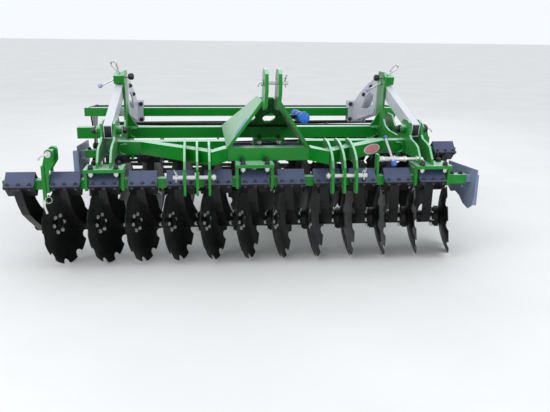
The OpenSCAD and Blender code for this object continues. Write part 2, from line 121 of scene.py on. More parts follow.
def at(x, y, z):
    """The place of a point of the source."""
    return Matrix.Translation(point(x, y, z))


def hub_x(i):
    """X of a hub of the front row; 0 is the folding disc."""
    return FOLD_HUB if i == 0 else FIRST_HUB + (i - 1) * PITCH


def at_hub(i):
    """A hub's own axes: local +X points to the disc's hollow side."""
    place = shift(hub_x(i), TUBE_Y + TRAIL, HUB_Z)
    return place @ Matrix.Rotation(-SWEEP, 4, "Z") @ Matrix.Rotation(-TILT, 4, "Y")


def at_clamp(i):
    return shift(hub_x(i) - CLAMP_BACK, TUBE_Y, TUBE_Z)


NONE = Matrix.Identity(4)
MIRROR_X = Matrix.Scale(-1, 4, (1, 0, 0))
BOTH = (NONE, MIRROR_X)
REAR = shift(0, ROW_GAP, 0) @ MIRROR_X
AT_ARM = shift(0, ARM_Y, ARM_Z) @ Matrix.Rotation(ARM_ANGLE, 4, "X")


# Materials
class Nodes:
    """Short writing of a node material."""

    def __init__(self, name):
        self.material = bpy.data.materials.new(name)
        self.material.use_nodes = True
        self.tree = self.material.node_tree
        self.shader = self.tree.nodes["Principled BSDF"]
        self.coords = self.add("ShaderNodeTexCoord").outputs["Object"]

    def add(self, kind, inputs=None, **settings):
        node = self.tree.nodes.new(kind)
        for key, value in settings.items():
            setattr(node, key, value)
        for key, value in (inputs or {}).items():
            self.put(node.inputs[key], value)
        return node

    def put(self, socket, value):
        if isinstance(value, bpy.types.NodeSocket):
            self.tree.links.new(value, socket)
        else:
            socket.default_value = value

    def set(self, **values):
        for key, value in values.items():
            self.put(self.shader.inputs[key.replace("_", " ")], value)

    def noise(self, scale, detail=4.0, rough=0.55):
        inputs = {"Vector": self.coords, "Scale": scale, "Detail": detail, "Roughness": rough}
        return self.add("ShaderNodeTexNoise", inputs).outputs["Fac"]

    def span(self, value, low, high, out_low=0.0, out_high=1.0):
        made = self.add(
            "ShaderNodeMapRange",
            {"Value": value, "From Min": low, "From Max": high, "To Min": out_low, "To Max": out_high},
            interpolation_type="SMOOTHSTEP",
        )
        return made.outputs["Result"]

    def times(self, a, b):
        made = self.add("ShaderNodeMath", operation="MULTIPLY")
        self.put(made.inputs[0], a)
        self.put(made.inputs[1], b)
        return made.outputs[0]

    def mix(self, factor, a, b):
        made = self.add("ShaderNodeMix", data_type="RGBA")
        self.put(made.inputs["Factor"], factor)
        for socket, value in ((made.inputs[6], a), (made.inputs[7], b)):
            self.put(socket, value if isinstance(value, bpy.types.NodeSocket) else (*value, 1.0))
        return made.outputs[2]

    def bump(self, height, distance, strength=1.0, normal=None):
        made = self.add("ShaderNodeBump", {"Height": height, "Distance": distance, "Strength": strength})
        if normal is not None:
            self.put(made.inputs["Normal"], normal)
        return made.outputs["Normal"]

    def up(self):
        """How far the surface faces up, from 0 to 1."""
        normal = self.add("ShaderNodeNewGeometry").outputs["Normal"]
        z = self.add("ShaderNodeSeparateXYZ", {"Vector": normal}).outputs["Z"]
        return self.span(z, 0.25, 0.88)

    def rounded(self, radius):
        """The normal with a solid's edges softened."""
        return self.add("ShaderNodeBevel", {"Radius": radius}, samples=4).outputs["Normal"]

    def edge(self, rounded):
        """1 along the edges of a solid, 0 on its faces."""
        hard = self.add("ShaderNodeNewGeometry").outputs["Normal"]
        dot = self.add("ShaderNodeVectorMath", operation="DOT_PRODUCT")
        self.put(dot.inputs[0], rounded)
        self.put(dot.inputs[1], hard)
        return self.span(dot.outputs["Value"], 0.995, 0.86)


def paint(name, colour, deep, dust_and_glare, edge_wear_and_glint, rough=0.3, dust_and_glare_share=0.35, gloss=0.25, sheen=0.14):
    """Sprayed enamel: slight tone drift, dust and a painted sky highlight on top, thin lighter edges that are
    partly painted highlight, orange peel.
    """
    n = Nodes(name)
    base = n.mix(n.span(n.noise(2.2, 3.0), 0.35, 0.7), colour, deep)
    fine = n.noise(38.0, 6.0, 0.7)
    # Pale film on upward faces: partly dust, partly painted highlight of the sky on the tops
    dust_and_glare_film = n.times(n.times(n.up(), n.span(fine, 0.3, 0.75, 0.82, 1.0)), dust_and_glare_share)
    base = n.mix(dust_and_glare_film, base, dust_and_glare)
    rounded = n.rounded(0.004)
    # Lighter colour along the edges: partly worn paint, partly painted highlight where the edges catch light
    lighter_edges = n.times(n.edge(rounded), n.span(n.noise(55.0, 5.0, 0.75), 0.5, 0.62))
    n.set(
        Base_Color=n.mix(lighter_edges, base, edge_wear_and_glint),
        Roughness=n.span(n.noise(9.0, 5.0), 0.2, 0.8, rough - 0.06, rough + 0.12),
        Specular_IOR_Level=gloss,
        Coat_Weight=0.2,
        Coat_Roughness=0.12,
        Sheen_Weight=sheen,
        Sheen_Roughness=0.35,
        Normal=n.bump(n.noise(420.0, 2.0), 0.0004, 0.25, rounded),
    )
    return n.material


def metal(name, colour, deep, rough=0.32, metallic=1.0):
    n = Nodes(name)
    tone = n.noise(26.0, 6.0, 0.65)
    n.set(
        Base_Color=n.mix(n.span(tone, 0.3, 0.75), colour, deep),
        Metallic=metallic,
        Roughness=n.span(n.noise(90.0, 4.0), 0.2, 0.8, rough - 0.08, rough + 0.12),
        Normal=n.bump(n.noise(500.0, 2.0), 0.0002, 0.3, n.rounded(0.0015)),
    )
    return n.material


def dull(name, colour, deep, rough, grain=300.0):
    """Rubber, moulded plastic and printed film."""
    n = Nodes(name)
    tone = n.noise(14.0, 5.0)
    n.set(
        Base_Color=n.mix(n.span(tone, 0.3, 0.75), colour, deep),
        Roughness=n.span(n.noise(60.0, 4.0), 0.2, 0.8, rough - 0.1, rough + 0.1),
        Normal=n.bump(n.noise(grain, 3.0), 0.0005, 0.4, n.rounded(0.0015)),
    )
    return n.material


def disc_paint(name):
    """Black stoving enamel on a rolled disc, worn along its edge."""
    n = Nodes(name)
    fine = n.noise(30.0, 6.0, 0.7)
    rounded = n.rounded(0.0025)
    base = n.mix(n.span(n.noise(3.0, 3.0), 0.35, 0.7), (0.0035, 0.0035, 0.004), (0.008, 0.008, 0.0085))
    base = n.mix(n.times(n.span(fine, 0.5, 0.8), 0.2), base, (0.045, 0.042, 0.038))
    lighter_edges = n.times(n.edge(rounded), n.span(n.noise(45.0, 5.0, 0.75), 0.52, 0.62))
    n.set(
        Base_Color=n.mix(lighter_edges, base, (0.16, 0.16, 0.17)),
        Roughness=n.span(n.noise(12.0, 5.0), 0.2, 0.8, 0.32, 0.5),
        Specular_IOR_Level=0.18,
        Coat_Weight=0.08,
        Coat_Roughness=0.2,
        Normal=n.bump(n.noise(260.0, 3.0), 0.0005, 0.3, rounded),
    )
    return n.material


# Each paint: colour, deeper tone, dust and painted sky highlight on tops, lighter edge of worn paint and
# painted highlight
# The green's mint film on its tops is mostly painted sky highlight, with some dust
GREEN = paint(
    "green_enamel", (0.002, 0.23, 0.016), (0.0015, 0.19, 0.012), (0.52, 0.9, 0.68), (0.12, 0.42, 0.18),
    dust_and_glare_share=0.68,
)
# A darker copy of the green for the headstock strut: painted shade of a plate that faces down
SHADED_GREEN = paint(
    "shaded_green_enamel", (0.0015, 0.16, 0.012), (0.001, 0.13, 0.009), (0.3, 0.45, 0.33), (0.08, 0.28, 0.1),
)
SLATE = paint(
    "slate_enamel", (0.062, 0.077, 0.155), (0.05, 0.062, 0.125), (0.22, 0.25, 0.36), (0.26, 0.28, 0.36),
    rough=0.42, dust_and_glare_share=0.12,
)
SHIELD = paint(
    "shield_enamel", (0.22, 0.26, 0.39), (0.18, 0.22, 0.34), (0.45, 0.47, 0.52), (0.45, 0.48, 0.55),
    rough=0.42,
)
# The silver's pale film on its tops is mostly painted highlight, with some dust
SILVER = paint(
    "silver_enamel", (0.57, 0.59, 0.65), (0.5, 0.52, 0.58), (0.82, 0.82, 0.84), (0.75, 0.77, 0.8),
    rough=0.38, dust_and_glare_share=0.5,
)
BLACK = paint(
    "black_enamel", (0.0045, 0.0045, 0.005), (0.009, 0.009, 0.0095), (0.08, 0.078, 0.076), (0.07, 0.07, 0.07),
    rough=0.36, dust_and_glare_share=0.18, gloss=0.16, sheen=0.03,
)
DISC = disc_paint("disc_enamel")
ZINC = metal("zinc_plate", (0.72, 0.72, 0.7), (0.55, 0.56, 0.56))
# Lighter, less metallic copy of the zinc for the hub nuts: painted glints, so the nuts stay light grey in
# shade
GLINT_ZINC = metal("zinc_with_painted_glint", (0.86, 0.86, 0.84), (0.74, 0.74, 0.72), rough=0.3, metallic=0.35)
DARK_BOLT = metal("phosphated_steel", (0.05, 0.05, 0.055), (0.09, 0.09, 0.095), rough=0.42)
RUBBER = dull("cord_rubber", (0.014, 0.014, 0.014), (0.024, 0.023, 0.022), 0.75, grain=220.0)
BLUE = dull("blue_plastic", (0.03, 0.19, 0.78), (0.025, 0.15, 0.66), 0.3)
BALL_BLUE = dull("blue_knob", (0.05, 0.13, 0.5), (0.04, 0.1, 0.4), 0.3)
LILAC = dull("lilac_knob", (0.42, 0.4, 0.72), (0.36, 0.34, 0.64), 0.35)
BLACK_PLASTIC = dull("black_plastic", (0.015, 0.015, 0.016), (0.024, 0.024, 0.025), 0.45)
FILM_BLUE = dull("blue_film", (0.07, 0.24, 0.6), (0.055, 0.2, 0.52), 0.4)
FILM_RED = dull("pale_red_film", (0.76, 0.27, 0.34), (0.68, 0.22, 0.29), 0.4)
FILM_WHITE = dull("white_film", (0.78, 0.74, 0.75), (0.7, 0.66, 0.67), 0.4)

LOOKS = {
    "green_paint": GREEN,
    "slate_paint": SLATE,
    "silver_paint": SILVER,
    "black_paint": BLACK,
    "disc_steel": DISC,
    "zinc": ZINC,
    "rubber": RUBBER,
    "blue_plastic": BLUE,
}


def smooth(data, angle):
    data.polygons.foreach_set("use_smooth", [True] * len(data.polygons))
    data.set_sharp_from_angle(angle=angle)


def dress(obj, material):
    obj.data.materials.clear()
    obj.data.materials.append(material)
    smooth(obj.data, SOLID_SMOOTH)


for part in frame["record"]["subparts"]:
    dress(nodes[part["node"]], LOOKS[part["material_slot"]])
# The strut gets the darker copy of the green: painted shade
dress(nodes["headstock_strut"], SHADED_GREEN)
for name in ("front_deflector", "rear_deflector"):
    dress(nodes[name], SHIELD)


# Mesh building
class Shape:
    """Collects closed solids into one mesh."""

    def __init__(self):
        self.mesh = bmesh.new()

    def put(self, verts, matrix):
        bmesh.ops.transform(self.mesh, matrix=matrix, verts=verts)
        if matrix.determinant() < 0:
            bmesh.ops.reverse_faces(self.mesh, faces=list({f for v in verts for f in v.link_faces}))

    def soften(self, verts, edges, offset):
        """Bevels edges, and gives the solid's vertices as they are then."""
        cut = bmesh.ops.bevel(self.mesh, geom=edges, offset=offset, segments=2, profile=0.5, affect="EDGES")
        return list({v for f in cut["faces"] for v in f.verts} | {v for v in verts if v.is_valid})

    def circle(self, centre, side, other, radius, count):
        """Loop of vertices round a centre, in the plane of two unit vectors."""
        angles = (2 * math.pi * j / count for j in range(count))
        spots = (centre + (side * math.cos(b) + other * math.sin(b)) * radius for b in angles)
        return [self.mesh.verts.new(spot) for spot in spots]

    def cyl(self, radius, low, high, matrix=NONE, axis="X", sides=24, top=None, bevel=0.0):
        """Cylinder or cone along an axis; top is the radius at its high end."""
        made = bmesh.ops.create_cone(
            self.mesh,
            cap_ends=True,
            segments=sides,
            radius1=radius,
            radius2=radius if top is None else top,
            depth=high - low,
        )
        verts = made["verts"]
        if bevel:
            edges = {e for v in verts for e in v.link_edges}
            rims = [e for e in edges if len(e.link_faces) == 2 and e.calc_face_angle(0) > 0.9]
            verts = self.soften(verts, rims, bevel)
        along = {"X": turn(90, "Y"), "Y": turn(-90, "X"), "Z": NONE}[axis]
        self.put(verts, matrix @ along @ shift(0, 0, (low + high) / 2))

    def ball(self, radius, centre, matrix=NONE):
        made = bmesh.ops.create_uvsphere(self.mesh, u_segments=24, v_segments=14, radius=radius)
        self.put(made["verts"], matrix @ Matrix.Translation(centre))

    def box(self, low, high, matrix=NONE, bevel=0.0):
        verts = bmesh.ops.create_cube(self.mesh, size=1.0)["verts"]
        low, high = Vector(low), Vector(high)
        bmesh.ops.scale(self.mesh, vec=high - low, verts=verts)
        if bevel:
            verts = self.soften(verts, list({e for v in verts for e in v.link_edges}), bevel)
        self.put(verts, matrix @ Matrix.Translation((low + high) / 2))

    def ring(self, radius, thick, matrix=NONE):
        """Torus in the local YZ plane."""
        loops = []
        for k in range(28):
            a = 2 * math.pi * k / 28
            out = Vector((0, math.cos(a), math.sin(a)))
            loops.append(self.circle(out * radius, out, Vector((1, 0, 0)), thick, 10))
        self.skin(loops, True, matrix)

    def sweep(self, points, radius, matrix=NONE, across=10):
        """Round rod along a line of points."""
        points = [Vector(p) for p in points]
        last = len(points) - 1
        loops = []
        side = None
        for k, p in enumerate(points):
            ahead = (points[min(k + 1, last)] - points[max(k - 1, 0)]).normalized()
            if side is None:
                side = ahead.orthogonal().normalized()
            side = (side - ahead * side.dot(ahead)).normalized()
            loops.append(self.circle(p, side, ahead.cross(side), radius, across))
        self.skin(loops, False, matrix)

    def bead(self, start, end, radius=0.0042, matrix=NONE):
        """Rippled weld along a straight joint."""
        start, end = Vector(start), Vector(end)
        side = (end - start).orthogonal().normalized()
        other = (end - start).normalized().cross(side)
        count = max(2, round((end - start).length / 0.006))
        loops = []
        for k in range(count + 1):
            size = radius * (0.8 if k % 2 else 1.08)
            loops.append(self.circle(start.lerp(end, k / count), side, other, size, 7))
        self.skin(loops, False, matrix)

    def skin(self, loops, closed, matrix):
        """Faces between neighbouring loops; an open row of loops gets its two ends closed."""
        count = len(loops[0])
        for a, b in zip(loops, loops[1:] + loops[:1] if closed else loops[1:]):
            for j in range(count):
                self.mesh.faces.new((a[j], a[(j + 1) % count], b[(j + 1) % count], b[j]))
        if not closed:
            self.mesh.faces.new(list(reversed(loops[0])))
            self.mesh.faces.new(loops[-1])
        self.put([v for loop in loops for v in loop], matrix)

    def plate(self, outline, low, high, plane, matrix=NONE, bevel=0.0):
        """Flat plate: an outline in the YZ or XZ plane, from low to high along the third axis."""
        place = {"YZ": lambda u, v, w: (w, u, v), "XZ": lambda u, v, w: (u, w, v)}[plane]
        bottom = [self.mesh.verts.new(place(u, v, low)) for u, v in outline]
        top = [self.mesh.verts.new(place(u, v, high)) for u, v in outline]
        faces = [self.mesh.faces.new(list(reversed(bottom))), self.mesh.faces.new(top)]
        for k in range(len(outline)):
            j = (k + 1) % len(outline)
            faces.append(self.mesh.faces.new((bottom[k], bottom[j], top[j], top[k])))
        bmesh.ops.recalc_face_normals(self.mesh, faces=faces)
        verts = bottom + top
        if bevel:
            verts = self.soften(verts, [e for f in faces[:2] for e in f.edges], bevel)
        self.put(verts, matrix)

    def hexagon(self, across, low, high, matrix=NONE, axis="X"):
        """Nut or bolt head with slightly chamfered corners."""
        self.cyl(across / math.sqrt(3), low, high, matrix, axis, sides=6, bevel=across * 0.035)

    def bolt(self, across, matrix=NONE, axis="X", washer=True, height=None):
        """Head or nut that sits at 0 and stands up along the axis, with a washer and the bolt's end."""
        height = height or across * 0.55
        start = 0.0
        if washer:
            start = across * 0.12
            self.cyl(across * 0.72, 0.0, start, matrix, axis, sides=20)
        self.hexagon(across, start, start + height, matrix, axis)
        low, high = start + height * 0.5, start + height * 1.35
        self.cyl(across * 0.3, low, high, matrix, axis, sides=16, bevel=across * 0.04)

    def done(self, name, material, body, slot):
        """Makes the piece on its body, with its material; the slot argument is not used."""
        bmesh.ops.recalc_face_normals(self.mesh, faces=self.mesh.faces)
        data = bpy.data.meshes.new(name)
        self.mesh.to_mesh(data)
        self.mesh.free()
        obj = bpy.data.objects.new(name, data)
        scene.collection.objects.link(obj)
        data.materials.append(material)
        smooth(data, TRIM_SMOOTH)
        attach(obj, body)
        return obj


# Discs: nuts, bolt heads, dust caps
HUB_BOLTS = 6
HUB_BOLT_R = 0.061
HUB_BACK = -0.046

for row, flip in (("front", NONE), ("rear", REAR)):
    for i in range(DISCS):
        place = flip @ at_hub(i)
        label = f"{i + 1:02d}"
        nuts = Shape()
        for k in range(HUB_BOLTS):
            spot = place @ turn(360 / HUB_BOLTS * k, "X") @ shift(0, HUB_BOLT_R, 0)
            nuts.bolt(0.024, spot @ shift(HUB_BACK, 0, 0) @ turn(180, "Y"))
            nuts.cyl(0.0165, 0.003, 0.006, spot, sides=20)
            nuts.cyl(0.0134, 0.0055, 0.0175, spot, sides=20, top=0.0124, bevel=0.002)
        # Hub nuts in the lighter zinc copy: painted glints
        nuts.done(f"hub_nuts_{row}_{label}", GLINT_ZINC, f"{row}_disc_{label}", "zinc")
        cap = Shape()
        cap.cyl(0.036, 0.012, 0.024, place, bevel=0.003, sides=32)
        cap.cyl(0.028, 0.0235, 0.029, place, bevel=0.003, sides=32, top=0.022)
        cap.done(f"hub_cap_{row}_{label}", BLACK, f"{row}_disc_{label}", "black_paint")

# Clamps: hexagon bolts and nuts on the lips of their shells
CLAMP_BOLT_X = (-0.07, 0.0, 0.07)
CLAMP_BOLT_Y = 0.087
LIP_HALF_T = 0.0095


def clamp_bolts(name, body, places):
    heads = Shape()
    for place in places:
        for x in CLAMP_BOLT_X:
            for y in (-CLAMP_BOLT_Y, CLAMP_BOLT_Y):
                above = place @ shift(x, y, LIP_HALF_T)
                below = place @ shift(x, y, -LIP_HALF_T) @ turn(180, "X")
                heads.bolt(0.022, above, axis="Z", height=0.013, washer=False)
                heads.bolt(0.022, below, axis="Z", height=0.012, washer=False)
    heads.done(name, DARK_BOLT, body, "black_paint")


clamp_bolts("clamp_bolts_front", "frame", [at_clamp(i) for i in range(1, DISCS)])
clamp_bolts("clamp_bolts_rear", "frame", [REAR @ at_clamp(i) for i in range(1, DISCS)])
clamp_bolts("clamp_bolts_fold_left", "fold_left", [at_clamp(0)])
clamp_bolts("clamp_bolts_fold_right", "fold_right", [REAR @ at_clamp(0)])

# Base plates: bolts above, nuts below
BASE_BOLT_X = 0.082


def plate_bolts(name, centre_x, y_front, y_rear, top, flip=NONE):
    spots = [(centre_x + x, y) for x in (-BASE_BOLT_X, BASE_BOLT_X) for y in (y_front, y_rear)]
    heads = Shape()
    for x, y in spots:
        heads.bolt(0.03, flip @ shift(x, y, top), axis="Z", height=0.02)
    heads.done(name, DARK_BOLT, "frame", "black_paint")
    below = Shape()
    for x, y in spots:
        below.bolt(0.03, flip @ shift(x, y, top - BASE_T) @ turn(180, "X"), axis="Z", height=0.02)
    below.done(name.replace("bolts", "nuts"), ZINC, "frame", "zinc")


HANGERS = [hub_x(i) - CLAMP_BACK for i in (2, 6, 11)]
for tag, x in zip(("left", "middle", "right"), HANGERS):
    reach, top = (0.03, BEAM_LOW) if tag == "middle" else (0.066, TOWER_LOW)
    plate_bolts(f"front_base_bolts_{tag}", x, TUBE_Y - 0.066, TUBE_Y + reach, top)
    plate_bolts(f"rear_base_bolts_{tag}", x, TUBE_Y - 0.069, TUBE_Y + 0.069, BEAM_LOW, REAR)


# Hitch pins: collars and linch pins
def linch_pin(shape, place):
    """Spring ring and its pin, set across a hitch pin's end; local X is the hitch pin's axis."""
    shape.cyl(0.0045, -0.03, 0.03, place, axis="Z", sides=14)
    shape.ring(0.024, 0.0028, place @ shift(0.0, 0, 0.03) @ turn(28, "Y") @ shift(0, 0, -0.001))
    shape.cyl(0.0065, 0.024, 0.036, place, axis="Z", sides=14, bevel=0.0015)


for tag, flip in (("left", MIRROR_X), ("right", NONE)):
    pins = Shape()
    place = flip @ at(0, -1.296, 0.675)
    pins.cyl(0.0225, 0.376, 0.393, place, bevel=0.003, sides=32)
    pins.cyl(0.0155, 0.368, 0.377, place, bevel=0.002, sides=32)
    linch_pin(pins, place @ shift(0.628, 0, 0))
    pins.done(f"lower_pin_trim_{tag}", ZINC, "frame", "zinc")

# Top link pin: head, short bent handle, linch pin
trim = Shape()
place = at(0, -1.25, 1.285)
trim.cyl(0.0225, -0.071, -0.0565, place, bevel=0.003, sides=32)
trim.sweep([(-0.06, 0, 0.0), (-0.078, 0, 0.0), (-0.088, 0, -0.008), (-0.091, 0, -0.026)], 0.0055, place)
linch_pin(trim, place @ shift(0.088, 0, 0))
trim.done("top_pin_trim", ZINC, "frame", "zinc")

# Masts: stop knobs, set rods with balls, and the handles' loops on the stops
KNOB_Y, KNOB_Z = -0.12, 1.235
ROD_Y = -0.125
LOOP_ARC = [math.radians(15 * k) for k in range(-3, 16)]

knobs, rods, balls = Shape(), Shape(), Shape()
for side, rod_x, rod_z, lean in ((-1, -SIDE_X - 0.038, 1.214, -25), (1, PLATE_INNER, 1.19, 40)):
    inner = at(side * PLATE_INNER, KNOB_Y, KNOB_Z) @ facing(-side)
    rods.cyl(0.012, -0.001, 0.026, inner, sides=20)
    knobs.cyl(0.02, 0.02, 0.034, inner, sides=28, top=0.025, bevel=0.002)
    knobs.cyl(0.025, 0.033, 0.056, inner, sides=28, bevel=0.003)
    knobs.cyl(0.025, 0.0555, 0.064, inner, sides=28, top=0.016, bevel=0.002)
    for k in range(6):
        knobs.cyl(0.0045, 0.036, 0.054, inner @ turn(60 * k, "X") @ shift(0, 0.0245, 0), sides=10)
    outer = at(rod_x, ROD_Y, rod_z)
    rods.cyl(0.015, -0.014, 0.0005, outer, bevel=0.002)
    tilted = outer @ turn(-25, "Y")
    rods.cyl(0.0065, -0.115, -0.004, tilted, sides=18)
    balls.ball(0.0185, (-0.128, 0, 0), tilted)
    balls.cyl(0.011, -0.118, -0.105, tilted, sides=20, top=0.009, bevel=0.001)
    eye = shift(side * SIDE_X, 0, 0) @ AT_ARM @ shift(0, 0.735, 0.15)
    rods.cyl(0.014, -0.001, 0.012, eye, axis="Z", sides=20, bevel=0.0015)
    leaning = eye @ shift(0, 0, 0.012) @ turn(lean, "Y")
    rods.cyl(0.01, -0.004, 0.022, leaning, axis="Z", sides=18)
    loop = [(0.02 * math.cos(a), 0, 0.078 + 0.022 * math.sin(a)) for a in LOOP_ARC]
    line = [(0, 0, 0.018), (0.01, 0, 0.032), *loop, (-0.01, 0, 0.032), (0, 0, 0.018)]
    rods.sweep(line, 0.0085, leaning, across=12)
made = rods.done("stop_rods", ZINC, "frame", "zinc")
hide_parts("stop_handles")
knobs.done("stop_knobs", BLACK_PLASTIC, "frame", "black_paint")
balls.done("stop_balls", LILAC, "frame", "blue_plastic")

# Roller arm pivots: nuts at both ends of each pin
pivot = Shape()
for flip in BOTH:
    for side in (-1, 1):
        spot = flip @ shift(SIDE_X + side * 0.0945, ARM_Y, ARM_Z) @ facing(side)
        pivot.bolt(0.042, spot, height=0.018)
pivot.done("pivot_nuts", DARK_BOLT, "roller_frame", "black_paint")

# Plugs in the roller arms' front ends
plugs = Shape()
for flip in BOTH:
    low, high = (SIDE_X - 0.0245, -0.082, -0.0205), (SIDE_X + 0.0245, -0.07, 0.0665)
    plugs.box(low, high, flip @ AT_ARM, bevel=0.002)
plugs.done("roller_arm_plugs", BLACK_PLASTIC, "roller_frame", "black_paint")

# Roller beam clamps and the bolts of the roller plates
clamp_nuts = Shape()
for flip in BOTH:
    for x in (-0.07, 0.07):
        for z in (0.755, 0.905):
            clamp_nuts.bolt(0.028, flip @ at(SIDE_X + x, 0.955, z), axis="Y", height=0.016)
            front = flip @ at(SIDE_X + x, 0.845, z) @ turn(180, "X")
            clamp_nuts.bolt(0.028, front, axis="Y", height=0.012)
for flip in BOTH:
    for y, z in ((0.2, 1.135), (0.44, 1.04)):
        for side in (-1, 1):
            spot = flip @ at(SIDE_X + side * 0.042, y, z) @ facing(side)
            clamp_nuts.bolt(0.03, spot, height=0.014)
clamp_nuts.done("roller_clamp_nuts", DARK_BOLT, "roller_frame", "black_paint")

# Roller bearings: two-bolt flanges on the roller ends
END_X = 1.525
BEARING_BOLT_Y = 0.068

flange = []
for a in ROUND:
    width = 0.078 * math.cos(a) * (0.72 + 0.28 * abs(math.cos(a)))
    flange.append((width * 1.12, 0.105 * math.sin(a) * 0.62))
bearing = Shape()
bearing_nuts = Shape()
for flip in BOTH:
    hub = flip @ at(0, 1.15, 0.425)
    bearing.plate(flange, END_X + 0.0055, END_X + 0.019, "YZ", hub, bevel=0.003)
    bearing.cyl(0.05, END_X + 0.018, END_X + 0.0305, hub, sides=40, bevel=0.003, top=0.046)
    for side in (-1, 1):
        bearing_nuts.bolt(0.022, hub @ shift(END_X + 0.019, side * BEARING_BOLT_Y, 0), height=0.01)
bearing.done("roller_bearings", BLACK, "roller_frame", "black_paint")
bearing_nuts.done("roller_bearing_nuts", ZINC, "roller_frame", "zinc")

# Turnbuckle: body, threads, bar with blue balls
ROD_END = 0.7655
BODY_LOW, BODY_HIGH = 0.79, 0.955
THREAD_STEP = 0.0085

screw = Shape()
axis = shift(0, TUBE_Y - 0.01, 0.755)
screw.cyl(0.0165, BODY_LOW, BODY_HIGH, axis, sides=32, bevel=0.004)
screw.hexagon(0.038, 0.782, 0.8, axis)
screw.hexagon(0.038, 0.945, 0.963, axis)
screw.cyl(0.0105, ROD_END, BODY_LOW, axis, sides=24)
screw.cyl(0.0105, 0.95, PLATE_INNER + 0.001, axis, sides=24)
for k in range(7):
    screw.cyl(0.0122, 0.9655 + THREAD_STEP * k, 0.9705 + THREAD_STEP * k, axis, sides=24, bevel=0.0012)
screw.cyl(0.0195, PLATE_INNER - 0.022, PLATE_INNER + 0.0005, axis, sides=32, bevel=0.003)
screw.cyl(0.0195, ROD_END, 0.782, axis, sides=32, bevel=0.003)
bar_top, bar_low = Vector(point(0.862, -0.962, 0.872)), Vector(point(0.862, -1.2, 0.734))
screw.sweep([bar_top, (bar_top + bar_low) / 2, bar_low], 0.0088, across=14)
made = screw.done("turnbuckle_body", ZINC, "frame", "zinc")
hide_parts("turnbuckle")
bar_ends = Shape()
bar_ends.ball(0.0165, bar_top)
bar_ends.ball(0.021, bar_low)
bar_ends.done("turnbuckle_balls", BALL_BLUE, "frame", "blue_plastic")

# Document tube: ribs, lid with its grip, straps and bracket
tube_at = at(0.282, -0.64, 0.985) @ turn(12, "Z")
case = Shape()
case.cyl(0.037, -0.092, 0.092, tube_at, axis="Y", sides=48, bevel=0.002)
for y in (-0.06, 0.0, 0.06):
    case.cyl(0.0387, y - 0.004, y + 0.004, tube_at, axis="Y", sides=48, bevel=0.0018)
case.cyl(0.04, 0.088, 0.102, tube_at, axis="Y", sides=48, bevel=0.004)
made = case.done("document_case", BLUE, "frame", "blue_plastic")
lid = Shape()
lid.cyl(0.0405, -0.11, -0.088, tube_at, axis="Y", sides=48, bevel=0.005)
lid.cyl(0.03, -0.1125, -0.109, tube_at, axis="Y", sides=48, bevel=0.001)
lid.box((-0.012, -0.104, 0.036), (0.012, -0.084, 0.046), tube_at, bevel=0.003)
for k in range(18):
    lid.cyl(0.0022, -0.104, -0.092, tube_at @ turn(20 * k, "Y") @ shift(0, 0, 0.0398), axis="Y", sides=8)
lid.done("document_lid", BLUE, "frame", "blue_plastic")
holder = Shape()
for y in (-0.035, 0.035):
    holder.cyl(0.0393, y - 0.009, y + 0.009, tube_at, axis="Y", sides=48)
holder.box(point(0.165, -0.66, 0.972), point(0.25, -0.63, 0.998), bevel=0.002)
holder.done("document_holder", BLACK, "frame", "black_paint")
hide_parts("document_tube")

# Folding hinges: pins, clips, locks
FOLD_PIN_X, FOLD_PIN_Z = -1.44, 0.824

for tag, flip, body in (("left", NONE, "fold_left"), ("right", REAR, "fold_right")):
    hinge = flip @ shift(FOLD_PIN_X, TUBE_Y, FOLD_PIN_Z)
    own = Shape()
    own.cyl(0.021, -0.101, -0.0905, hinge, axis="Y", sides=28, bevel=0.003)
    own.cyl(0.021, 0.0785, 0.086, hinge, axis="Y", sides=28, bevel=0.002)
    own.cyl(0.004, -0.03, 0.03, hinge @ shift(0, 0.0885, 0) @ turn(35, "Y"), axis="Z", sides=14)
    clip = [(0.0, -0.099, 0.0), (-0.03, -0.104, -0.004), (-0.052, -0.104, -0.018), (-0.058, -0.104, -0.036)]
    own.sweep(clip, 0.0055, hinge)
    own.done(f"fold_pin_trim_{tag}", ZINC, "frame", "zinc")
    lock = Shape()
    spot = flip @ shift(-1.489, TUBE_Y - 0.064, 0.505)
    lock.cyl(0.0085, -0.012, 0.034, spot, axis="Y", sides=20, bevel=0.002)
    lock.cyl(0.014, -0.024, -0.011, spot, axis="Y", sides=24, bevel=0.002)
    lock.sweep([(0, -0.02, 0), (0.004, -0.03, -0.03), (0.018, -0.034, -0.075)], 0.0075, spot)
    lock.ring(0.021, 0.0022, spot @ shift(0.028, -0.012, 0.012) @ turn(90, "Z"))
    lock.done(f"fold_lock_{tag}", ZINC, body, "zinc")

# Sliding deflectors: set bolts on the tube ends
set_bolts = Shape()
for flip in (NONE, REAR):
    for x in (1.31, 1.375):
        spot = flip @ shift(x, TUBE_Y, TUBE_Z + TUBE_HALF)
        set_bolts.bolt(0.024, spot, axis="Z", height=0.014)
        set_bolts.cyl(0.019, 0.0, 0.004, spot, axis="Z", bevel=0.001)
set_bolts.done("deflector_set_bolts", DARK_BOLT, "frame", "black_paint")

# Hose hooks beside the masts
HOOK_R = 0.036

hooks = Shape()
for flip in BOTH:
    for x, y, z in (point(1.0, -0.145, 0.79), point(1.004, -0.822, 0.782)):
        angles = [math.radians(15 * k - 20) for k in range(15)]
        half = [(HOOK_R * math.sin(a), -0.03, HOOK_R * math.cos(a)) for a in angles]
        foot_x, _, foot_z = half[0]
        line = [(foot_x, 0.002, foot_z), (foot_x, -0.018, foot_z), *half]
        hooks.sweep(line, 0.0052, flip @ shift(x, y, z), across=12)
        hooks.cyl(0.0085, -0.003, 0.0, flip @ shift(x + foot_x, y, z + foot_z), axis="Y", sides=16)
hooks.done("hose_hooks", GREEN, "frame", "green_paint")

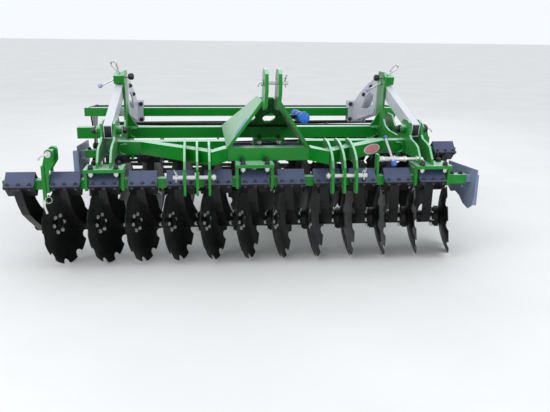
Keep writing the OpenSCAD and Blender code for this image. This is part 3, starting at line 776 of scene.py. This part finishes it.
# The first beam's slanted arms in plan: X and Y of a point of each edge, and the edge's slope
ARM_FRONT_EDGE = (0.395, -1.24, 0.8444)
ARM_REAR_EDGE = (0.385, -1.13, 0.8105)


def edge_y(edge, x):
    start_x, start_y, slope = edge
    return start_y + slope * (x - start_x)


# Welds of the frame
OUTER = SIDE_X + SIDE_GAP
SIDE_EDGES = (PLATE_INNER, PLATE_INNER + 2 * SIDE_HALF_T, OUTER - SIDE_HALF_T, OUTER + SIDE_HALF_T)

welds = Shape()
for flip in BOTH:
    for x in (0.41, 0.49, 0.572):
        front, rear = edge_y(ARM_FRONT_EDGE, x), edge_y(ARM_REAR_EDGE, x)
        for edge in (-0.0075, 0.0075):
            welds.bead(point(x + edge, front, BEAM_TOP), point(x + edge, rear, BEAM_TOP), matrix=flip)
    for edge in (0.2675, 0.29):
        for y in (-1.088, -0.14):
            welds.bead(point(edge, y, BEAM_TOP), point(edge, y + 0.08, BEAM_TOP), matrix=flip)
    for edge in SIDE_EDGES:
        welds.bead(point(edge, -0.145, BEAM_TOP), point(edge, -0.055, BEAM_TOP), matrix=flip)
        welds.bead(point(edge, -0.145, BEAM_LOW), point(edge, -0.145, BEAM_TOP), matrix=flip)
    welds.bead(point(PLATE_INNER, -0.822, BEAM_TOP), point(PLATE_INNER, -0.732, BEAM_TOP), matrix=flip)
    welds.bead(point(PLATE_INNER, -0.822, BEAM_LOW), point(PLATE_INNER, -0.822, BEAM_TOP), matrix=flip)
    gusset = PLATE_INNER - 0.081
    welds.bead(point(gusset, -0.12, BEAM_TOP), point(PLATE_INNER, -0.12, BEAM_TOP), 0.0035, flip)
for k, x in enumerate(HANGERS):
    middle = k == 1
    low = (BEAM_LOW if middle else TOWER_LOW) - BASE_T
    front = TUBE_Y - TUBE_HALF
    for side in (-0.128, -0.11, 0.11, 0.128):
        welds.bead((x + side, TUBE_Y - 0.057, low), (x + side, TUBE_Y + 0.057, low), 0.0035)
        welds.bead((x + side, front, TUBE_Z + TUBE_HALF), (x + side, front, TUBE_Z - TUBE_HALF), 0.0035)
        under = BEAM_LOW - BASE_T
        welds.bead((x + side, TUBE_Y - 0.057, under), (x + side, TUBE_Y + 0.057, under), 0.0035, REAR)
    if not middle:
        for edge in SIDE_EDGES:
            spot = math.copysign(edge, x)
            welds.bead((spot, TUBE_Y - 0.05, TOWER_LOW), (spot, TUBE_Y + 0.09, TOWER_LOW), 0.0038)
welds.done("frame_welds", GREEN, "frame", "green_paint")

# Plain films: a stripe on the headstock, an oval on the bent beam
LEAN = math.radians(34.2)
OVAL_LONG, OVAL_HIGH = 0.1, 0.036

stripe = Shape()
outline = [(-1.108, 0.1), (-1.033, 0.1), (-1.077, 0.24), (-1.152, 0.24)]
leaning = MIRROR_X @ shift(0.278, -MID_Y, BEAM_TOP) @ Matrix.Rotation(-LEAN, 4, "Y")
stripe.plate(outline, 0.0098, 0.0106, "YZ", leaning)
stripe.done("headstock_stripe", FILM_BLUE, "frame", "blue_plastic")
face = at(0.779, -0.9157, 0.783) @ Matrix.Rotation(math.atan(ARM_FRONT_EDGE[2]), 4, "Z")
for tag, share, stand, material in (("rim", 1.0, 0.0006, FILM_WHITE), ("field", 0.88, 0.001, FILM_RED)):
    oval = Shape()
    outline = [(OVAL_LONG * share * math.cos(a), OVAL_HIGH * share * math.sin(a)) for a in ROUND]
    oval.plate(outline, -stand, 0.0002, "XZ", face)
    oval.done(f"beam_oval_{tag}", material, "frame", "silver_paint")

# Closed ends of the second beam
CAP_HALF = 0.041
BEAD_AT = 0.042

caps = Shape()
for x, inside, outside in ((-1.455, 0.001, -0.003), (1.4, -0.001, 0.003)):
    place = at(x, -0.1, 0.785)
    low, high = sorted((inside, outside))
    caps.box((low, -CAP_HALF, -CAP_HALF), (high, CAP_HALF, CAP_HALF), place, bevel=0.001)
    for edge in (-BEAD_AT, BEAD_AT):
        caps.bead((0, -BEAD_AT, edge), (0, BEAD_AT, edge), 0.003, place)
        caps.bead((0, edge, -BEAD_AT), (0, edge, BEAD_AT), 0.003, place)
caps.done("beam_end_caps", GREEN, "frame", "green_paint")

# Lubricators on the roller arms' pivots
nipples = Shape()
for flip in BOTH:
    for side in (-1, 1):
        spot = flip @ shift(SIDE_X + side * 0.068, ARM_Y, ARM_Z + 0.0315)
        nipples.hexagon(0.009, -0.001, 0.005, spot, axis="Z")
        nipples.cyl(0.003, 0.004, 0.011, spot, axis="Z", sides=12)
        nipples.ball(0.0036, (0, 0, 0.0115), spot)
nipples.done("pivot_nipples", ZINC, "frame", "zinc")

# Camera, at the photograph's place and angle
CAMERA_PLACE = at(-0.459, -5.287, 1.618)
YAW, PITCH_DOWN, ROLL = math.radians(6.911), math.radians(15.924), math.radians(0.829)
FOCAL_PX = 620.61
PHOTO_WIDTH = 550
SENSOR = 36.0

ahead_x = math.sin(YAW) * math.cos(PITCH_DOWN)
ahead_y = math.cos(YAW) * math.cos(PITCH_DOWN)
forward = Vector((ahead_x, ahead_y, -math.sin(PITCH_DOWN)))
level = Vector((math.cos(YAW), -math.sin(YAW), 0))
above = level.cross(forward)
across = math.cos(ROLL) * level + math.sin(ROLL) * above
upward = -math.sin(ROLL) * level + math.cos(ROLL) * above
camera = bpy.data.objects.new("camera", bpy.data.cameras.new("camera"))
scene.collection.objects.link(camera)
camera.matrix_world = CAMERA_PLACE @ Matrix((across, upward, -forward)).transposed().to_4x4()
camera.data.sensor_width = SENSOR
camera.data.lens = FOCAL_PX / PHOTO_WIDTH * SENSOR
camera.data.clip_end = 300.0
scene.camera = camera


# Floor
def floor_material():
    n = Nodes("pale_floor")
    n.set(
        Base_Color=n.mix(n.span(n.noise(0.8, 5.0), 0.3, 0.7), (0.8, 0.8, 0.79), (0.84, 0.84, 0.83)),
        Roughness=0.9,
        Normal=n.bump(n.noise(60.0, 5.0), 0.002, 0.15),
    )
    return n.material


FLOOR_HALF = 80
floor_mesh = bpy.data.meshes.new("floor")
corners = [(-FLOOR_HALF, -FLOOR_HALF, 0), (FLOOR_HALF, -FLOOR_HALF, 0)]
corners += [(FLOOR_HALF, FLOOR_HALF, 0), (-FLOOR_HALF, FLOOR_HALF, 0)]
floor_mesh.from_pydata(corners, [], [(0, 1, 2, 3)])
floor_mesh.materials.append(floor_material())
floor = bpy.data.objects.new("floor", floor_mesh)
floor.location.z = -0.0005
scene.collection.objects.link(floor)
floor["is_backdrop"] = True

# Light: an even pale sky, a little dimmer as light than as it is seen, and three soft lamps
SKY_LIGHT, SKY_SEEN = 0.94, 1.0

world = bpy.data.worlds.new("studio")
world.use_nodes = True
tree = world.node_tree
background = tree.nodes["Background"]
path = tree.nodes.new("ShaderNodeLightPath")
shown = tree.nodes.new("ShaderNodeMath")
shown.operation = "MAXIMUM"
tree.links.new(path.outputs["Is Camera Ray"], shown.inputs[0])
tree.links.new(path.outputs["Is Glossy Ray"], shown.inputs[1])
strength = tree.nodes.new("ShaderNodeMapRange")
strength.inputs["To Min"].default_value = SKY_LIGHT
strength.inputs["To Max"].default_value = SKY_SEEN
tree.links.new(shown.outputs[0], strength.inputs["Value"])
tree.links.new(strength.outputs["Result"], background.inputs["Strength"])
background.inputs["Color"].default_value = (0.93, 0.96, 1.0, 1.0)
scene.world = world


def lamp(name, place, target, power):
    light = bpy.data.lights.new(name, "AREA")
    light.shape = "DISK"
    light.size = 3.5
    light.energy = power
    obj = bpy.data.objects.new(name, light)
    scene.collection.objects.link(obj)
    aim = (Vector(place) - Vector(target)).to_track_quat("Z", "Y")
    obj.matrix_world = Matrix.Translation(place) @ aim.to_matrix().to_4x4()


lamp("key", (-3.5, -4.5, 5.5), (0, -0.3, 0.5), 125)
lamp("fill", (4.5, -3.5, 3.5), (0, 0, 0.5), 50)
lamp("rim", (1.0, 5.5, 4.5), (0, 0.5, 0.6), 66)
scene.view_settings.view_transform = "Standard"

low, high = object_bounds()
